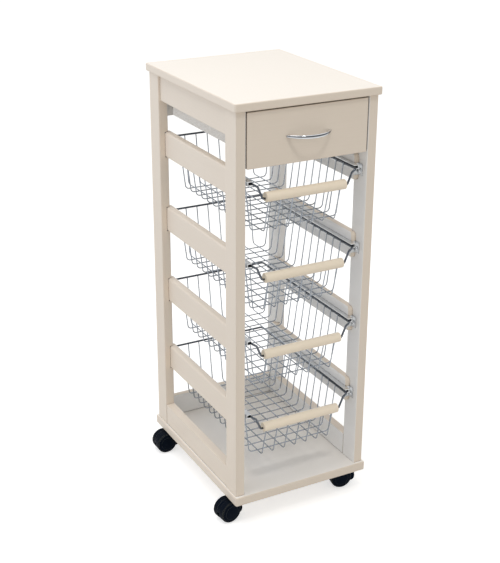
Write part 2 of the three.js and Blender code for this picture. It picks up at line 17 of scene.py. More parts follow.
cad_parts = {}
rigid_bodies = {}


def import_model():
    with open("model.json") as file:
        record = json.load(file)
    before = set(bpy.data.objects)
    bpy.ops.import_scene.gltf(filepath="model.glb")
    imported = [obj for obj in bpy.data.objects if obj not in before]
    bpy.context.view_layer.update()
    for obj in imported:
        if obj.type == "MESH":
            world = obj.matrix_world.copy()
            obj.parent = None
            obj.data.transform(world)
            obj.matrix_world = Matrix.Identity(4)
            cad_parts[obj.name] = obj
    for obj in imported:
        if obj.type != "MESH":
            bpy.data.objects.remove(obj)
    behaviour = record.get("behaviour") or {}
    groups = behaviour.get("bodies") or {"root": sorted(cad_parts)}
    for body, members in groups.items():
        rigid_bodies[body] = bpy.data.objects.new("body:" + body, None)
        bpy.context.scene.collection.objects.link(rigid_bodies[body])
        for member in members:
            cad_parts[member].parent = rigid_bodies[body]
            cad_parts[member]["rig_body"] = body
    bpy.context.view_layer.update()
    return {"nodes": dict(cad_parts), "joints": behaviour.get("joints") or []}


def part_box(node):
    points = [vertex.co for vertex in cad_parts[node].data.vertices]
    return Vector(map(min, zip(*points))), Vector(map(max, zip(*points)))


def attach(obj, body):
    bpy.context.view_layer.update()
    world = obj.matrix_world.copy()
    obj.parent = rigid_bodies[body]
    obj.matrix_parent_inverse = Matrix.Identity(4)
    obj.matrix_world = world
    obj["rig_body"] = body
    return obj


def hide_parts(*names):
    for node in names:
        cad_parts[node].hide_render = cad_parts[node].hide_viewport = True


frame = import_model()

MM = 0.001


def in_mm(place):
    """A place in metres as rounded millimetres, to print."""
    return [round(x / MM, 1) for x in place]


# %% [markdown]
# ## The camera first
#
# A long lens from the height of a standing person shows the top, the drawer front and one side, and
# keeps the upright posts nearly parallel. The small roll and shift are those of a camera held in
# the hands. A Track To constraint could aim it but not roll it, so its turn is built from angles.

# %% Camera
CAMERA_AT = Vector((-1.0116, -1.8418, 1.2958))
CAMERA_AZIMUTH = math.radians(-28.68)
CAMERA_ELEVATION = math.radians(22.57)
CAMERA_ROLL = math.radians(0.437)
LENS = 74.11                         # in mm
LENS_SHIFT = (-0.0140, -0.0025)      # in shares of the frame's longer side
FARTHEST_SEEN = 50                   # in metres


def add_object(name, data):
    """A new object in the scene, made from a mesh, a lamp or a camera."""
    made = bpy.data.objects.new(name, data)
    bpy.context.scene.collection.objects.link(made)
    return made


across = Vector((math.cos(CAMERA_AZIMUTH), math.sin(CAMERA_AZIMUTH), 0))
backward = Vector((
    math.sin(CAMERA_AZIMUTH) * math.cos(CAMERA_ELEVATION),
    -math.cos(CAMERA_AZIMUTH) * math.cos(CAMERA_ELEVATION),
    math.sin(CAMERA_ELEVATION),
))
upward = backward.cross(across)
turn = Matrix((across, upward, backward)).transposed() @ Matrix.Rotation(CAMERA_ROLL, 3, "Z")

camera = add_object("camera", bpy.data.cameras.new("camera"))
camera.matrix_world = Matrix.Translation(CAMERA_AT) @ turn.to_4x4()
camera.data.lens = LENS
camera.data.shift_x, camera.data.shift_y = LENS_SHIFT
camera.data.clip_end = FARTHEST_SEEN
bpy.context.scene.camera = camera
bpy.context.scene.view_settings.view_transform = "Standard"
print("camera looks along", [round(x, 3) for x in -backward])

# %% [markdown]
# ## Three small helpers for materials
#
# Colours are written as the hex values that a paint chart or a screen shows. Blender works in
# linear light, so one function converts them. A second adds a node and joins it up in one call,
# because a tree written as loose nodes and links is hard to read. A third starts a material and
# hands back its tree, its shader and the coordinates that patterns read. Those are Object
# coordinates: a pattern then has its real size on every piece, and moves with the piece.

# %% Helpers for colour and nodes
def linear(code):
    """An sRGB hex colour such as "#C08040" as linear RGBA."""
    parts = [int(code[i:i + 2], 16) / 255 for i in (1, 3, 5)]
    return [x / 12.92 if x <= 0.04045 else ((x + 0.055) / 1.055) ** 2.4 for x in parts] + [1.0]


def add_node(tree, kind, inputs=None, **settings):
    """Adds a node, sets its properties, and fills its inputs with values or links."""
    made = tree.nodes.new(kind)
    for name, value in settings.items():
        setattr(made, name, value)
    for name, value in (inputs or {}).items():
        if isinstance(value, bpy.types.NodeSocket):
            tree.links.new(value, made.inputs[name])
        else:
            made.inputs[name].default_value = value
    return made


def start_material(name, **shader_values):
    """A new material, its tree, its Principled shader, and the piece's coordinates in metres."""
    material = bpy.data.materials.new(name)
    material.use_nodes = True
    tree = material.node_tree
    shader = tree.nodes["Principled BSDF"]
    for socket, value in shader_values.items():
        shader.inputs[socket.replace("_", " ")].default_value = value
    return material, tree, shader, add_node(tree, "ShaderNodeTexCoord").outputs["Object"]


print("middle grey in linear light:", round(linear("#808080")[0], 3))

# %% [markdown]
# ## Masks that read the shape
#
# Wear follows a thing's form: paint thins on edges. Shade follows it too, and here it is painted
# into the colour of gaps and corners. Such places could be painted by hand, piece by piece. Nodes
# find them instead, and still find them when a size changes. A Bevel node gives a rounded normal,
# which leans away from the true one only near an edge. On black nylon that edge mask places a
# painted highlight. An Ambient Occlusion node tells how much of the air within a few millimetres
# is open, and painted shade goes where little is. The normal alone tells whether a face looks up.
# And where it points against the face's own place, seen from above, the face looks inwards, at the
# trolley's middle. Some faces that look up or inwards take painted light.

# %% Masks for edges, gaps and the way a face looks
EDGE_LEAN = 0.85                     # cosine of the lean at which an edge counts in full
INWARD_START = -20 * MM              # a face's place, measured from the middle along its normal,
INWARD_FULL = -60 * MM               # where it starts to look inwards and where it does in full


def edge_mask(tree, reach):
    """A normal rounded over reach, and how much it leans: 0 on flats and up to 1 on edges."""
    rounded = add_node(tree, "ShaderNodeBevel", {"Radius": reach}, samples=4).outputs["Normal"]
    flat = add_node(tree, "ShaderNodeNewGeometry").outputs["Normal"]
    lean = add_node(tree, "ShaderNodeVectorMath", {0: rounded, 1: flat}, operation="DOT_PRODUCT")
    return rounded, add_node(tree, "ShaderNodeMapRange", {
        "Value": lean.outputs["Value"], "From Min": 1.0, "From Max": EDGE_LEAN}).outputs["Result"]


def gap_shade_mask(tree, reach, open_air, shut_in):
    """Painted shade: 0 where the share of open air within reach is above open_air, 1 below shut_in.
    """
    air = add_node(tree, "ShaderNodeAmbientOcclusion", {"Distance": reach}, samples=6)
    return add_node(tree, "ShaderNodeMapRange", {
        "Value": air.outputs["AO"], "From Min": open_air, "From Max": shut_in}).outputs["Result"]


def upward_look(tree):
    """1 on a face that looks up, 0 on an upright one, and -1 on one that looks down."""
    facing = add_node(tree, "ShaderNodeNewGeometry").outputs["Normal"]
    return add_node(tree, "ShaderNodeSeparateXYZ", {"Vector": facing}).outputs["Z"]


def inward_light_mask(tree, place, axes, most):
    """Painted light: 0 on outer faces, up to most on inward faces along the axes that hold 1."""
    level_place = add_node(tree, "ShaderNodeVectorMath", {0: place, 1: axes}, operation="MULTIPLY")
    facing = add_node(tree, "ShaderNodeNewGeometry").outputs["Normal"]
    outward = add_node(tree, "ShaderNodeVectorMath", {
        0: level_place.outputs["Vector"], 1: facing}, operation="DOT_PRODUCT")
    return add_node(tree, "ShaderNodeMapRange", {
        "Value": outward.outputs["Value"], "From Min": INWARD_START, "From Max": INWARD_FULL,
        "To Max": most}).outputs["Result"]


print("an edge counts in full at", round(math.degrees(math.acos(EDGE_LEAN))), "degrees of lean")

# %% [markdown]
# ## Ivory lacquer on solid wood
#
# The frame is beech, sanded, primed and sprayed with a satin nitrocellulose lacquer. Three things
# tell the eye that this is painted wood and not plastic: the grain still stands a few hundredths
# of a millimetre proud and runs along each board, the film pulls slightly thin on sharp edges and
# goes a shade deeper there, and the gloss is broken by the orange peel of the spray gun.
# Real pores are a fifth of a millimetre wide. They are drawn 2 mm wide here, so that they show.
# Narrow gaps where two boards meet are painted brown, as painted shade where little air is open.
# Cream boards that face each other lend each other's shade a brown cast. Faces that look inwards
# are painted whiter against that, as painted light. The tops of the two level boards are painted
# paler than their edges, as painted light from above.

# %% Sizes and tones of the lacquer
GRAIN_WIDTH, GRAIN_LENGTH = 2.0 * MM, 70 * MM
ORANGE_PEEL = 1.6 * MM
CLOUD = 120 * MM
GRAIN_SHARE, CLOUD_SHARE, EDGE_SHARE = 0.35, 0.3, 0.35      # of the way to the deeper tone
SATIN, SATIN_SPREAD = 0.42, (-0.05, 0.08)
PORE_DEPTH, PEEL_DEPTH = 0.06 * MM, 0.03 * MM
FILM_RELIEF = 0.5
EDGE_REACH = 1.6 * MM
# The brown of narrow gaps is painted shade.
SEAM_REACH = 6 * MM
SEAM_OPEN, SEAM_SHUT = 0.42, 0.12                           # of the air within reach
# Faces that look up on the level boards, and faces that look inwards, take a tone of painted light.
LEVEL_START, LEVEL_FULL = 0.93, 0.99                        # of a normal's upward part
PAINTED_LIGHT_SHARE = 0.85

FRESH_IVORY, DEEP_IVORY = "#F2E5D5", "#E7D8C5"
# Tone of painted light for faces that look inwards.
PAINTED_LIGHT_IVORY = "#FDFDFC"
# Painted shade of narrow gaps.
SEAM_SHADE_BROWN = "#4A3B32"


def wood_figure(tree, place, along, width, length, **noise):
    """Noise drawn out along axis 0, 1 or 2, as the figure of wood is."""
    stretch = [1 / width] * 3
    stretch[along] = 1 / length
    drawn_out = add_node(tree, "ShaderNodeMapping", {"Vector": place, "Scale": stretch})
    return add_node(tree, "ShaderNodeTexNoise", {
        "Vector": drawn_out.outputs["Vector"], "Scale": 1.0, **noise}).outputs["Fac"]


print("grain is drawn", round(GRAIN_LENGTH / GRAIN_WIDTH), "times as long as wide")


# %% Ivory lacquer
def lacquered_wood(name, along, fresh=FRESH_IVORY, deep=DEEP_IVORY, roughness=SATIN, lit_top_tone=None,
                   inward=(1, 1, 0)):
    """Satin lacquer over wood whose grain runs along axis 0, 1 or 2.

    Faces that look up may take a paler tone, as painted light. Inward holds 1 for each axis along
    which a face can look inwards and take a whiter tone of painted light. Narrow gaps take painted
    shade.
    """
    material, tree, shader, place = start_material(name, IOR=1.5)
    grain = wood_figure(tree, place, along, GRAIN_WIDTH, GRAIN_LENGTH, Detail=3.0, Roughness=0.6)
    cloud = add_node(tree, "ShaderNodeTexNoise", {
        "Vector": place, "Scale": 1 / CLOUD, "Detail": 2.0})
    peel = add_node(tree, "ShaderNodeTexNoise", {
        "Vector": place, "Scale": 1 / ORANGE_PEEL, "Detail": 1.0})
    rounded, edge_wear_and_highlight = edge_mask(tree, EDGE_REACH)

    tone = add_node(tree, "ShaderNodeMath", {0: grain, 1: GRAIN_SHARE}, operation="MULTIPLY")
    tone = add_node(tree, "ShaderNodeMath", {
        0: cloud.outputs["Fac"], 1: CLOUD_SHARE, 2: tone.outputs["Value"]},
        operation="MULTIPLY_ADD")
    tone = add_node(tree, "ShaderNodeMath", {
        0: edge_wear_and_highlight, 1: EDGE_SHARE, 2: tone.outputs["Value"]},
        operation="MULTIPLY_ADD", use_clamp=True)
    colour = add_node(tree, "ShaderNodeMix", {
        "Factor": tone.outputs["Value"], "A": linear(fresh), "B": linear(deep)},
        data_type="RGBA")
    # Painted light on inward faces and on tops, and painted shade in narrow gaps, go over the
    # wood's tone.
    painted_light_and_shade = [(inward_light_mask(tree, place, inward, PAINTED_LIGHT_SHARE), PAINTED_LIGHT_IVORY)]
    if lit_top_tone:
        level = add_node(tree, "ShaderNodeMapRange", {
            "Value": upward_look(tree), "From Min": LEVEL_START, "From Max": LEVEL_FULL,
            "To Max": PAINTED_LIGHT_SHARE})
        painted_light_and_shade.append((level.outputs["Result"], lit_top_tone))
    # Painted shade: narrow gaps go brown.
    painted_light_and_shade.append((gap_shade_mask(tree, SEAM_REACH, SEAM_OPEN, SEAM_SHUT), SEAM_SHADE_BROWN))
    for mask, painted_tone in painted_light_and_shade:
        colour = add_node(tree, "ShaderNodeMix", {
            "Factor": mask, "A": colour.outputs["Result"], "B": linear(painted_tone)}, data_type="RGBA")
    tree.links.new(colour.outputs["Result"], shader.inputs["Base Color"])

    gloss = add_node(tree, "ShaderNodeMapRange", {
        "Value": grain, "To Min": roughness + SATIN_SPREAD[0],
        "To Max": roughness + SATIN_SPREAD[1]})
    tree.links.new(gloss.outputs["Result"], shader.inputs["Roughness"])

    pores = add_node(tree, "ShaderNodeBump", {
        "Height": grain, "Distance": PORE_DEPTH, "Strength": FILM_RELIEF, "Normal": rounded})
    film = add_node(tree, "ShaderNodeBump", {
        "Height": peel.outputs["Fac"], "Distance": PEEL_DEPTH, "Strength": FILM_RELIEF,
        "Normal": pores.outputs["Normal"]})
    tree.links.new(film.outputs["Normal"], shader.inputs["Normal"])
    return material


lacquer = [
    lacquered_wood("ivory_lacquer_grain_x", 0),
    lacquered_wood("ivory_lacquer_grain_y", 1),
    lacquered_wood("ivory_lacquer_grain_z", 2, inward=(1, 0, 0)),
]
print("lacquers by the way that the grain runs:", [m.name for m in lacquer])

# %% Lacquers for single places
# The front of a post counts as an outer face, apart from the rear right post's, which shows only
# through the baskets. So that post has a lacquer of its own, which puts painted light on its front
# face as well.
rear_post_lit_lacquer = lacquered_wood("shaded_post_ivory_lacquer_grain_z", 2)
# The two level boards take a paler tone of painted light on top.
level_lacquer = lacquered_wood("level_board_ivory_lacquer_grain_y", 1, lit_top_tone="#FCF5EB")
shelf_lacquer = lacquered_wood("shelf_ivory_lacquer_grain_y", 1, lit_top_tone="#FFFBF5")
handle_lacquer = lacquered_wood("turned_beech_ivory_lacquer", 0, "#FFF2DC", "#F9E6CC",
                                roughness=0.36)
print("other lacquers:", rear_post_lit_lacquer.name, level_lacquer.name, shelf_lacquer.name,
      handle_lacquer.name)

# %% [markdown]
# ## Bare wood inside the drawer
#
# The drawer's box is never painted. Limed birch plywood is nearly white, with short grey-brown
# flecks along the grain and wide soft bands where the knife that peeled the veneer met the rings.
# A tiled pattern would repeat from board to board. Two sizes of drawn-out noise never do.

# %% Birch plywood
FLECK_WIDTH, FLECK_LENGTH = 1.5 * MM, 9 * MM
RING_WIDTH, RING_LENGTH = 22 * MM, 300 * MM
RING_SHARE = 0.6                     # beside the flecks
FLECK_DEPTH = 0.1 * MM
BIRCH_TONES = [(0.45, "#D3C9BB"), (1.0, "#F1EDE6")]


def fill_ramp(ramp, stops):
    """Fills a colour ramp with pairs of a place on it, from 0 to 1, and a hex colour."""
    while len(ramp.elements) < len(stops):
        ramp.elements.new(0.5)
    for stop, (place_on_ramp, tone) in zip(ramp.elements, stops):
        stop.position = place_on_ramp
        stop.color = linear(tone)


def birch_ply(name, along):
    """Pale sanded veneer whose grain runs along axis 0, 1 or 2."""
    material, tree, shader, place = start_material(name, IOR=1.45, Roughness=0.6)
    fleck = wood_figure(tree, place, along, FLECK_WIDTH, FLECK_LENGTH, Detail=4.0)
    ring = wood_figure(tree, place, along, RING_WIDTH, RING_LENGTH, Detail=2.0, Distortion=0.6)
    both = add_node(tree, "ShaderNodeMath", {0: ring, 1: RING_SHARE, 2: fleck},
                    operation="MULTIPLY_ADD")
    colour = add_node(tree, "ShaderNodeValToRGB", {"Fac": both.outputs["Value"]})
    fill_ramp(colour.color_ramp, BIRCH_TONES)
    tree.links.new(colour.outputs["Color"], shader.inputs["Base Color"])
    bump = add_node(tree, "ShaderNodeBump", {
        "Height": fleck, "Distance": FLECK_DEPTH, "Strength": 0.4})
    tree.links.new(bump.outputs["Normal"], shader.inputs["Normal"])
    return material


birch = [birch_ply(f"limed_birch_grain_{axis}", i) for i, axis in enumerate("xyz")]
print("plywood:", [m.name for m in birch])

# %% [markdown]
# ## Chrome and zinc
#
# Bright chrome is a mirror, so it shows whatever stands round it. Drawn wire keeps faint die lines
# and the plate is a little thinner where wires cross, so its gloss changes by a few hundredths.
# The wires are painted a little darker than bright chrome, and the rim much darker: painted dark
# reflection and shade.
# In a plain pale room a mirror has nothing to show, and the bow of the pull would look like grey
# plastic. So its tone changes with the tilt of each face, as painted reflections: white where it
# looks up, a dark stripe at eye level, a pale one under that, and grey below. A painted room could
# do the same, but would change the light on all the rest.
# A zinc-plated screw, stem or runner is duller, with a fine crystalline bloom. Its inner corners
# are painted nearly black by the gap mask, as painted shade.

# %% Plated metal, and the chrome of the wires
# Zinc's close corners go dark as painted shade.
CORNER_REACH = 5 * MM
CORNER_OPEN, CORNER_SHUT = 0.62, 0.3
BLOOM_DEPTH = 0.01 * MM


def plated_metal(name, bright, dull, gloss, bloom, corners=None, bands=None):
    """Plated steel: two tones, lowest and highest roughness, and the size of its bloom.

    Close corners take a darker tone of painted shade where one is given. Bands are tones of painted
    reflection, from the faces that look down (0) to those that look up (1).
    """
    material, tree, shader, place = start_material(name, Metallic=1.0)
    spots = add_node(tree, "ShaderNodeTexNoise", {
        "Vector": place, "Scale": 1 / bloom, "Detail": 3.0}).outputs["Fac"]
    colour = add_node(tree, "ShaderNodeMix", {
        "Factor": spots, "A": linear(bright), "B": linear(dull)}, data_type="RGBA")
    if corners:
        colour = add_node(tree, "ShaderNodeMix", {
            "Factor": gap_shade_mask(tree, CORNER_REACH, CORNER_OPEN, CORNER_SHUT),
            "A": colour.outputs["Result"], "B": linear(corners)}, data_type="RGBA")
    # Painted reflection: a tone by the tilt of each face.
    if bands:
        tilt = add_node(tree, "ShaderNodeMapRange", {
            "Value": upward_look(tree), "From Min": -1.0, "From Max": 1.0})
        band = add_node(tree, "ShaderNodeValToRGB", {"Fac": tilt.outputs["Result"]})
        fill_ramp(band.color_ramp, bands)
        colour = add_node(tree, "ShaderNodeMix", {
            "Factor": 1.0, "A": colour.outputs["Result"], "B": band.outputs["Color"]},
            data_type="RGBA", blend_type="MULTIPLY")
    tree.links.new(colour.outputs["Result"], shader.inputs["Base Color"])
    rough = add_node(tree, "ShaderNodeMapRange", {
        "Value": spots, "To Min": gloss[0], "To Max": gloss[1]})
    tree.links.new(rough.outputs["Result"], shader.inputs["Roughness"])
    bump = add_node(tree, "ShaderNodeBump", {
        "Height": spots, "Distance": BLOOM_DEPTH, "Strength": 0.3})
    tree.links.new(bump.outputs["Normal"], shader.inputs["Normal"])
    return material


# Both are darker than bright chrome, the rim much darker: painted dark reflection and shade.
wire_chrome = plated_metal("chromed_wire_plate", "#B6BCC4", "#6C747E", (0.08, 0.2), 6 * MM)
rim_chrome = plated_metal("chromed_rim_plate", "#6B7078", "#3A3F47", (0.10, 0.22), 8 * MM)
print("chrome of the wires:", wire_chrome.name, rim_chrome.name)

# %% Chrome of the pull, and zinc
# Painted reflections of the pull, from faces that look down to faces that look up.
PAINTED_REFLECTION_BANDS = [(0.0, "#7E8187"), (0.42, "#F2F3F4"), (0.52, "#4A4D53"), (0.62, "#5F636A"),
                (0.78, "#FFFFFF")]
pull_chrome = plated_metal("polished_chrome_plate", "#F6F7F8", "#DADCDF", (0.04, 0.10), 14 * MM,
                           bands=PAINTED_REFLECTION_BANDS)
# The corner tones of both zincs are painted shade.
zinc = plated_metal("zinc_plate", "#E4E5E6", "#A7AAAD", (0.15, 0.3), 2.5 * MM,
                    corners="#1C1D20")
runner_zinc = plated_metal("bright_zinc_strip", "#ECEDEE", "#CDCFD1", (0.22, 0.38), 4 * MM,
                           corners="#17181B")
print("other metals:", pull_chrome.name, zinc.name, runner_zinc.name)

# %% [markdown]
# ## Black nylon
#
# Hoods and wheels are moulded nylon, coloured through with carbon black. Its skin is as fine as
# the mould's, and so dark that it shows its form only by a weak, bluish sheen and by pale edges.
# The pale edges are a painted highlight, with a little real rubbing. The sheen's strength and tint
# are the same all over, so they are set on the shader itself.

# %% Black plastic
SCUFF = 9 * MM
# Pale edges: a painted highlight, with a little rubbing.
SCUFF_SHARE, PALE_EDGE_SHARE = 0.02, 0.55
PALE_EDGE_REACH = 0.9 * MM


def black_moulding(name, tone, pale_edge_tone, gloss, texture, depth):
    """Moulded black nylon: tone, pale edge tone (painted highlight), roughness range, fine texture.
    """
    material, tree, shader, place = start_material(
        name, IOR=1.4, Specular_IOR_Level=0.12, Specular_Tint=linear("#5A9CFF"))
    skin = add_node(tree, "ShaderNodeTexNoise", {
        "Vector": place, "Scale": 1 / texture, "Detail": 2.0})
    scuff = add_node(tree, "ShaderNodeTexNoise", {
        "Vector": place, "Scale": 1 / SCUFF, "Detail": 5.0, "Roughness": 0.7}).outputs["Fac"]
    rounded, edge_wear_and_highlight = edge_mask(tree, PALE_EDGE_REACH)
    share = add_node(tree, "ShaderNodeMath", {0: scuff, 1: SCUFF_SHARE}, operation="MULTIPLY")
    share = add_node(tree, "ShaderNodeMath", {
        0: edge_wear_and_highlight, 1: PALE_EDGE_SHARE, 2: share.outputs["Value"]},
        operation="MULTIPLY_ADD", use_clamp=True)
    colour = add_node(tree, "ShaderNodeMix", {
        "Factor": share.outputs["Value"], "A": linear(tone), "B": linear(pale_edge_tone)},
        data_type="RGBA")
    tree.links.new(colour.outputs["Result"], shader.inputs["Base Color"])
    rough = add_node(tree, "ShaderNodeMapRange", {
        "Value": scuff, "To Min": gloss[0], "To Max": gloss[1]})
    tree.links.new(rough.outputs["Result"], shader.inputs["Roughness"])
    bump = add_node(tree, "ShaderNodeBump", {
        "Height": skin.outputs["Fac"], "Distance": depth, "Strength": 0.6, "Normal": rounded})
    tree.links.new(bump.outputs["Normal"], shader.inputs["Normal"])
    return material


hood_black = black_moulding("moulded_black_nylon", "#00040B", "#3A3D3C", (0.34, 0.5),
                            texture=0.9 * MM, depth=0.02 * MM)
tread_black = black_moulding("castor_tread_black", "#00040C", "#8E9086", (0.5, 0.7),
                             texture=1.4 * MM, depth=0.05 * MM)
print("plastics:", hood_black.name, tread_black.name)

# %% [markdown]
# ## Paint what stays as it is
#
# The shelf, posts, aprons, low rails, runners, castor stems and hoods and the drawer's box have
# the right shape already. Modelling them again would add nothing, so they keep their solids and
# only take a material. Wood takes it with the grain along its longest side, as a joiner cuts it.

# %% Finish the solids that stay
def longest_axis(node):
    """The axis, 0, 1 or 2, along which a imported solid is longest."""
    low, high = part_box(node)
    size = high - low
    return max(range(3), key=lambda i: size[i])


def finish_for(node):
    """The material of a solid that stays, or None for one that a finer piece replaces."""
    if node == "bottom_shelf":
        return shelf_lacquer
    if node == "post_rear_right":
        return rear_post_lit_lacquer
    if node.startswith(("post_", "apron_", "low_rail_")):
        return lacquer[longest_axis(node)]
    if node.startswith(("drawer_side", "drawer_back", "drawer_bottom", "drawer_guide")):
        return birch[longest_axis(node)]
    if node.startswith("runner_"):
        return runner_zinc
    if node.startswith("castor_stem"):
        return zinc
    if node.startswith("castor_hood"):
        return hood_black
    return None


staying = [node for node in frame["nodes"] if finish_for(node)]
for node in staying:
    solid = frame["nodes"][node]
    solid.data.materials.clear()
    solid.data.materials.append(finish_for(node))
print(len(staying), "of", len(frame["nodes"]), "solids stay")

# %% [markdown]
# ## Boards with soft edges
#
# The worktop, the drawer front and the slats have edges that were run past a rounding cutter. A
# Bevel modifier would round all twelve edges of a box alike. Two rounds of bevel in code give the
# real form: first the corners seen from the flat side, then the rim of both faces. A Weighted
# Normal modifier keeps the wide faces perfectly flat in the light while the narrow round edges
# shade softly.

# %% Make one rounded board
ROUND_STEPS = 5
FLAT_FACE = 0.9                      # a normal's share of an axis, for a face that looks along it


def finished_mesh(shape, name):
    """A plain mesh of a bmesh, which is freed. Its faces point outwards."""
    bmesh.ops.recalc_face_normals(shape, faces=shape.faces)
    mesh = bpy.data.meshes.new(name)
    shape.to_mesh(mesh)
    shape.free()
    return mesh


def rounded_board(low, high, thin, corner, ease):
    """A mesh of a board between two corners. Its corners are rounded about axis thin."""
    shape = bmesh.new()
    size = high - low
    bmesh.ops.create_cube(shape, size=1, matrix=Matrix.Translation((low + high) / 2)
                          @ Matrix.Diagonal((*size, 1)))
    uprights = [e for e in shape.edges
                if abs((e.verts[0].co - e.verts[1].co)[thin]) > size[thin] / 2]
    bmesh.ops.bevel(shape, geom=uprights, offset=corner, segments=ROUND_STEPS, profile=0.5,
                    affect="EDGES")
    faces = [f for f in shape.faces if abs(f.normal[thin]) > FLAT_FACE]
    rims = {e for f in faces for e in f.edges}
    bmesh.ops.bevel(shape, geom=list(rims), offset=ease, segments=ROUND_STEPS, profile=0.5,
                    affect="EDGES", clamp_overlap=True)
    return finished_mesh(shape, "rounded_board")


top = rounded_board(*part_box("top_board"), thin=2, corner=4 * MM, ease=2 * MM)
print("worktop:", len(top.polygons), "faces")

# %% Put a piece on the body of the solid that it stands for
body_of = {node: solid["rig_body"] for node, solid in frame["nodes"].items()}
BOARD_SHARP, WIRE_SHARP, GRIP_SHARP, SMALL_SHARP = 60, 50, 40, 35      # in degrees


def soften(piece, sharp_angle):
    """Smooth shading that leaves flats flat, and edges sharp from an angle in degrees."""
    piece.data.shade_smooth()
    piece.data.set_sharp_from_angle(angle=math.radians(sharp_angle))
    piece.modifiers.new("flat_faces_stay_flat", "WEIGHTED_NORMAL").keep_sharp = True


def put_piece(name, mesh, material, node, sharp_angle):
    """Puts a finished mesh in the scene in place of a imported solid, on the same body."""
    if not mesh.materials:
        mesh.materials.append(material)
    piece = add_object(name, mesh)
    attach(piece, body_of[node])
    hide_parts(node)
    soften(piece, sharp_angle)


put_piece("worktop_lacquered", top, level_lacquer, "top_board", BOARD_SHARP)
print("worktop rides on", body_of["top_board"])

# %% Drawer front and slats
face = rounded_board(*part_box("drawer_front"), thin=1, corner=2 * MM, ease=1 * MM)
put_piece("drawer_face_lacquered", face, lacquer[0], "drawer_front", BOARD_SHARP)
slats = [node for node in frame["nodes"] if node.startswith("slat_")]
for node in slats:
    slat = rounded_board(*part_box(node), thin=0, corner=7 * MM, ease=4 * MM)
    put_piece(f"{node}_lacquered", slat, lacquer[1], node, BOARD_SHARP)
print(len(slats), "slats rounded")

# %% [markdown]
# ## Baskets of welded wire
#
# A basket is one thick wire bent into a rim, and two families of thin wires bent into shallow
# channels and spot-welded to it and to each other. The shape follows a rule: a few knots, a bend
# radius, a wire diameter, a number of copies and a step between them. That is work for Geometry
# Nodes. The knots come in as a chain of mesh edges. The tree turns the chain into a curve, rounds
# its corners, repeats it, and sweeps a circle along every copy.

# %% A node tree that bends a wire and repeats it
BEND_STEPS = 6


def start_tree(name, inputs, output):
    """A new Geometry Nodes tree with named inputs and one output: the tree and its inputs."""
    tree = bpy.data.node_groups.new(name, "GeometryNodeTree")
    for socket, kind in inputs:
        tree.interface.new_socket(socket, in_out="INPUT", socket_type=f"NodeSocket{kind}")
    tree.interface.new_socket(output, in_out="OUTPUT", socket_type="NodeSocketGeometry")
    return tree, add_node(tree, "NodeGroupInput").outputs


bent_wire, given = start_tree("bent_and_repeated_wire", [
    ("Knots", "Geometry"), ("Bend radius", "Float"), ("Wire radius", "Float"), ("Sides", "Int"),
    ("Copies", "Int"), ("Step", "Vector"), ("Finish", "Material"),
], "Wires")
centre_line = add_node(bent_wire, "GeometryNodeMeshToCurve", {"Mesh": given["Knots"]})
bends = add_node(bent_wire, "GeometryNodeFilletCurve", {
    "Curve": centre_line.outputs["Curve"], "Count": BEND_STEPS, "Radius": given["Bend radius"],
    "Limit Radius": True}, mode="POLY")
row = add_node(bent_wire, "GeometryNodeMeshLine", {
    "Count": given["Copies"], "Offset": given["Step"]})
placed = add_node(bent_wire, "GeometryNodeInstanceOnPoints", {
    "Points": row.outputs["Mesh"], "Instance": bends.outputs["Curve"]})
real = add_node(bent_wire, "GeometryNodeRealizeInstances", {
    "Geometry": placed.outputs["Instances"]})
section = add_node(bent_wire, "GeometryNodeCurvePrimitiveCircle", {
    "Resolution": given["Sides"], "Radius": given["Wire radius"]})
swept = add_node(bent_wire, "GeometryNodeCurveToMesh", {
    "Curve": real.outputs["Geometry"], "Profile Curve": section.outputs["Curve"],
    "Fill Caps": True})
finished = add_node(bent_wire, "GeometryNodeSetMaterial", {
    "Geometry": swept.outputs["Mesh"], "Material": given["Finish"]})
add_node(bent_wire, "NodeGroupOutput", {"Wires": finished.outputs["Geometry"]})
print("wire tree:", len(bent_wire.nodes), "nodes")


# %% Run a node tree on a mesh and keep the result
def run_tree(tree, mesh, **values):
    """The plain mesh that a node tree makes from mesh. Values are given by input name."""
    carrier = add_object("carrier", mesh)
    modifier = carrier.modifiers.new("maker", "NODES")
    modifier.node_group = tree
    for socket in tree.interface.items_tree:
        if socket.in_out == "INPUT" and socket.name.replace(" ", "_") in values:
            modifier[socket.identifier] = values[socket.name.replace(" ", "_")]
    graph = bpy.context.evaluated_depsgraph_get()
    made = bpy.data.meshes.new_from_object(carrier.evaluated_get(graph), depsgraph=graph)
    bpy.data.objects.remove(carrier)
    return made


def chain(points, closed=False):
    """A mesh of edges that joins points, given in mm, one after another."""
    count = len(points)
    edges = [(i, (i + 1) % count) for i in range(count if closed else count - 1)]
    mesh = bpy.data.meshes.new("chain")
    mesh.from_pydata([Vector(p) * MM for p in points], edges, [])
    return mesh


def join_meshes(meshes, offset=(0, 0, 0)):
    """One mesh out of several, moved by offset. Each keeps its own material."""
    joined = bpy.data.meshes.new("joined")
    whole = bmesh.new()
    for mesh in meshes:
        material = mesh.materials[0] if mesh.materials else None
        if material and material.name not in joined.materials:
            joined.materials.append(material)
        start = len(whole.faces)
        whole.from_mesh(mesh)
        whole.faces.ensure_lookup_table()
        for face in whole.faces[start:]:
            face.material_index = joined.materials.find(material.name) if material else 0
    bmesh.ops.translate(whole, verts=whole.verts, vec=Vector(offset))
    whole.to_mesh(joined)
    whole.free()
    return joined


print("a closed chain of four knots has", len(chain([(0, 0, 0)] * 4, closed=True).edges), "edges")

# %% [markdown]
# ## The shape of one basket
#
# All four baskets are alike, so one is made and copied. Its sizes are in millimetres, from the
# middle of the rim. The front of the rim drops and runs through the handle, so that the wooden grip
# hangs below the rim. The thin cross wires hang inside the side rims, and the long wires lie on top
# of them. Where two wires touch they sink into each other a little, as they do under a spot welder.

